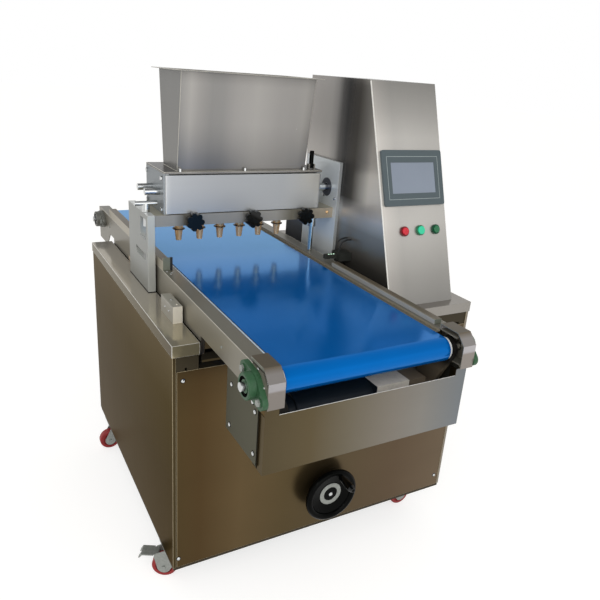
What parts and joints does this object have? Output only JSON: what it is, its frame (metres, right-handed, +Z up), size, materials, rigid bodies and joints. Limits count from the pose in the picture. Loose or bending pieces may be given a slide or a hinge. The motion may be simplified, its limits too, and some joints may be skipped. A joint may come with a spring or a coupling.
{
  "type": "cookie depositor",
  "caption": "Wheeled cookie depositor: steel cabinet, dough hopper over fluted feed rollers and nozzles, lifting blue belt conveyor, sloping control console and handwheel.",
  "frame": {"origin": "middle of the whole outline, on the floor under the wheels", "axes": "+Z up, -Y towards the handwheel and the belt's front end, +X towards the console"},
  "size_m": [1.0278, 1.5567, 1.447],
  "materials": {
    "steel": "brushed stainless steel sheet",
    "frame_steel": "welded stainless tube",
    "cover_steel": "fine brushed stainless plate",
    "chrome": "polished",
    "brass": "turned brass",
    "belt_blue": "glossy food belt",
    "bearing_green": "green painted casting",
    "black_gloss": "moulded",
    "black_matte": "moulded",
    "motor_paint": "painted",
    "roller_steel": "turned steel",
    "bezel_grey": "moulded",
    "screen": "display",
    "red": "moulded",
    "green": "moulded",
    "lamp_green": "lamp lens",
    "wheel_red": "moulded",
    "cable": "cable jacket"
  },
  "bodies": {
    "base": {"base_frame": "frame_steel", "cabinet_shell": "steel", "front_panel": "steel", "left_deck": "steel", "right_deck": "steel", "left_post": "cover_steel", "right_post": "steel", "nozzle_bar": "cover_steel", "nozzles": "brass", "head_end_plates": "cover_steel", "head_front_cover": "cover_steel", "head_back_plate": "cover_steel", "hopper": "steel", "hopper_thumb_screws": "chrome", "console": "steel", "hmi_bezel": "bezel_grey", "hmi_screen": "screen", "button_collars": "chrome", "lamp_lens": "lamp_green", "accessory_block": "cover_steel", "sensor_unit": "black_matte", "sensor_cable_front": "cable", "sensor_cable_rear": "cable", "stop_rod": "chrome", "caster_plates": "chrome"},
    "conveyor": {"conveyor_rails": "steel", "tray_guides": "cover_steel", "conveyor_bed": "steel", "belt": "belt_blue", "flange_bearings": "bearing_green", "end_covers": "steel", "front_guard": "steel", "drive_cradle": "steel", "belt_gearmotor": "motor_paint", "chain_guard": "steel", "lift_frame": "frame_steel"},
    "front_roller": {"front_roller": "roller_steel"},
    "rear_roller": {"rear_roller": "roller_steel"},
    "handwheel": {"handwheel": "black_gloss"},
    "handwheel_handle": {"handwheel_handle": "black_gloss"},
    "lift_screw": {"lift_screw": "chrome"},
    "front_feed_roller": {"front_feed_roller": "chrome"},
    "rear_feed_roller": {"rear_feed_roller": "chrome"},
    "star_knob_left": {"star_knob_left": "black_gloss"},
    "star_knob_middle": {"star_knob_middle": "black_gloss"},
    "star_knob_right": {"star_knob_right": "black_gloss"},
    "clamp_screw": {"clamp_screw": "chrome"},
    "hopper_lever": {"hopper_lever": "black_gloss"},
    "red_button": {"red_button": "red"},
    "green_button": {"green_button": "green"},
    "caster_pedal_left": {"caster_pedal_left": "chrome"},
    "caster_pedal_right": {"caster_pedal_right": "chrome"},
    "caster_fork_front_left": {"caster_fork_front_left": "chrome"},
    "caster_wheel_front_left": {"caster_wheel_front_left": "wheel_red"},
    "caster_fork_front_right": {"caster_fork_front_right": "chrome"},
    "caster_wheel_front_right": {"caster_wheel_front_right": "wheel_red"},
    "caster_fork_rear_left": {"caster_fork_rear_left": "chrome"},
    "caster_wheel_rear_left": {"caster_wheel_rear_left": "wheel_red"},
    "caster_fork_rear_right": {"caster_fork_rear_right": "chrome"},
    "caster_wheel_rear_right": {"caster_wheel_rear_right": "wheel_red"}
  },
  "joints": [
    {"name": "conveyor_lift", "type": "slide", "parent": "base", "child": "conveyor", "axis": [0, 0, 1], "range_m": [-0.05, 0]},
    {"name": "front_roller_spin", "type": "hinge", "parent": "conveyor", "child": "front_roller", "pos_m": [-0.10509, -0.72061, 0.86], "axis": [1, 0, 0], "continuous": true},
    {"name": "rear_roller_spin", "type": "hinge", "parent": "conveyor", "child": "rear_roller", "pos_m": [-0.10509, 0.71639, 0.86], "axis": [1, 0, 0], "continuous": true},
    {"name": "handwheel_turn", "type": "hinge", "parent": "base", "child": "handwheel", "pos_m": [0.03041, -0.40361, 0.259], "axis": [0, 1, 0], "range_deg": [-2250, 0]},
    {"name": "handle_spin", "type": "hinge", "parent": "handwheel", "child": "handwheel_handle", "pos_m": [0.05142, -0.46361, 0.32367], "axis": [0, 1, 0], "continuous": true},
    {"name": "lift_screw_turn", "type": "hinge", "parent": "base", "child": "lift_screw", "pos_m": [0.03041, 0.07139, 0.4], "axis": [0, 0, 1], "range_deg": [-2250, 0]},
    {"name": "front_feed_spin", "type": "hinge", "parent": "base", "child": "front_feed_roller", "pos_m": [-0.10509, 0.02639, 1.103], "axis": [1, 0, 0], "continuous": true},
    {"name": "rear_feed_spin", "type": "hinge", "parent": "base", "child": "rear_feed_roller", "pos_m": [-0.10509, 0.10239, 1.103], "axis": [1, 0, 0], "continuous": true},
    {"name": "clamp_screw_turn", "type": "hinge", "parent": "base", "child": "clamp_screw", "pos_m": [-0.3931, 0.02439, 1.07], "axis": [0, 0, 1], "range_deg": [0, 720]},
    {"name": "hopper_lever_swing", "type": "hinge", "parent": "base", "child": "hopper_lever", "pos_m": [0.1299, -0.00161, 1.176], "axis": [-1, 0, 0], "range_deg": [0, 80]},
    {"name": "star_knob_left_turn", "type": "hinge", "parent": "base", "child": "star_knob_left", "pos_m": [-0.2671, -0.02261, 1.024], "axis": [0, 1, 0], "range_deg": [0, 720]},
    {"name": "star_knob_middle_turn", "type": "hinge", "parent": "base", "child": "star_knob_middle", "pos_m": [-0.08009, -0.02261, 1.024], "axis": [0, 1, 0], "range_deg": [0, 720]},
    {"name": "star_knob_right_turn", "type": "hinge", "parent": "base", "child": "star_knob_right", "pos_m": [0.1029, -0.02261, 1.024], "axis": [0, 1, 0], "range_deg": [0, 720]},
    {"name": "red_button_press", "type": "slide", "parent": "base", "child": "red_button", "axis": [0, 0.9435, -0.3314], "range_m": [0, 0.004], "stiffness_N_per_m": 600, "springref_m": -0.002},
    {"name": "green_button_press", "type": "slide", "parent": "base", "child": "green_button", "axis": [0, 0.9435, -0.3314], "range_m": [0, 0.004], "stiffness_N_per_m": 600, "springref_m": -0.002},
    {"name": "caster_swivel_front_left", "type": "hinge", "parent": "base", "child": "caster_fork_front_left", "pos_m": [-0.40409, -0.29961, 0.103], "axis": [0, 0, 1], "continuous": true},
    {"name": "caster_roll_front_left", "type": "hinge", "parent": "caster_fork_front_left", "child": "caster_wheel_front_left", "pos_m": [-0.43765, -0.28177, 0.038], "axis": [0.4695, 0.8829, 0], "continuous": true},
    {"name": "caster_brake_left", "type": "hinge", "parent": "caster_fork_front_left", "child": "caster_pedal_left", "pos_m": [-0.45707, -0.27144, 0.078], "axis": [0.4695, 0.8829, 0], "range_deg": [-15, 0]},
    {"name": "caster_swivel_front_right", "type": "hinge", "parent": "base", "child": "caster_fork_front_right", "pos_m": [0.46491, -0.29961, 0.103], "axis": [0, 0, 1], "continuous": true},
    {"name": "caster_roll_front_right", "type": "hinge", "parent": "caster_fork_front_right", "child": "caster_wheel_front_right", "pos_m": [0.4269, -0.29961, 0.038], "axis": [0, 1, 0], "continuous": true},
    {"name": "caster_brake_right", "type": "hinge", "parent": "caster_fork_front_right", "child": "caster_pedal_right", "pos_m": [0.40491, -0.29961, 0.078], "axis": [0, 1, 0], "range_deg": [-15, 0]},
    {"name": "caster_swivel_rear_left", "type": "hinge", "parent": "base", "child": "caster_fork_rear_left", "pos_m": [-0.40409, 0.44239, 0.103], "axis": [0, 0, 1], "continuous": true},
    {"name": "caster_roll_rear_left", "type": "hinge", "parent": "caster_fork_rear_left", "child": "caster_wheel_rear_left", "pos_m": [-0.4421, 0.44239, 0.038], "axis": [0, 1, 0], "continuous": true},
    {"name": "caster_swivel_rear_right", "type": "hinge", "parent": "base", "child": "caster_fork_rear_right", "pos_m": [0.46491, 0.44239, 0.103], "axis": [0, 0, 1], "continuous": true},
    {"name": "caster_roll_rear_right", "type": "hinge", "parent": "caster_fork_rear_right", "child": "caster_wheel_rear_right", "pos_m": [0.4269, 0.44239, 0.038], "axis": [0, 1, 0], "continuous": true}
  ],
  "couplings": [
    {"joint": "handwheel_turn", "follows": "conveyor_lift", "rad_per_m": 785.4},
    {"joint": "lift_screw_turn", "follows": "conveyor_lift", "rad_per_m": 785.4},
    {"joint": "rear_roller_spin", "follows": "front_roller_spin", "ratio": 1},
    {"joint": "rear_feed_spin", "follows": "front_feed_spin", "ratio": -1}
  ]
}
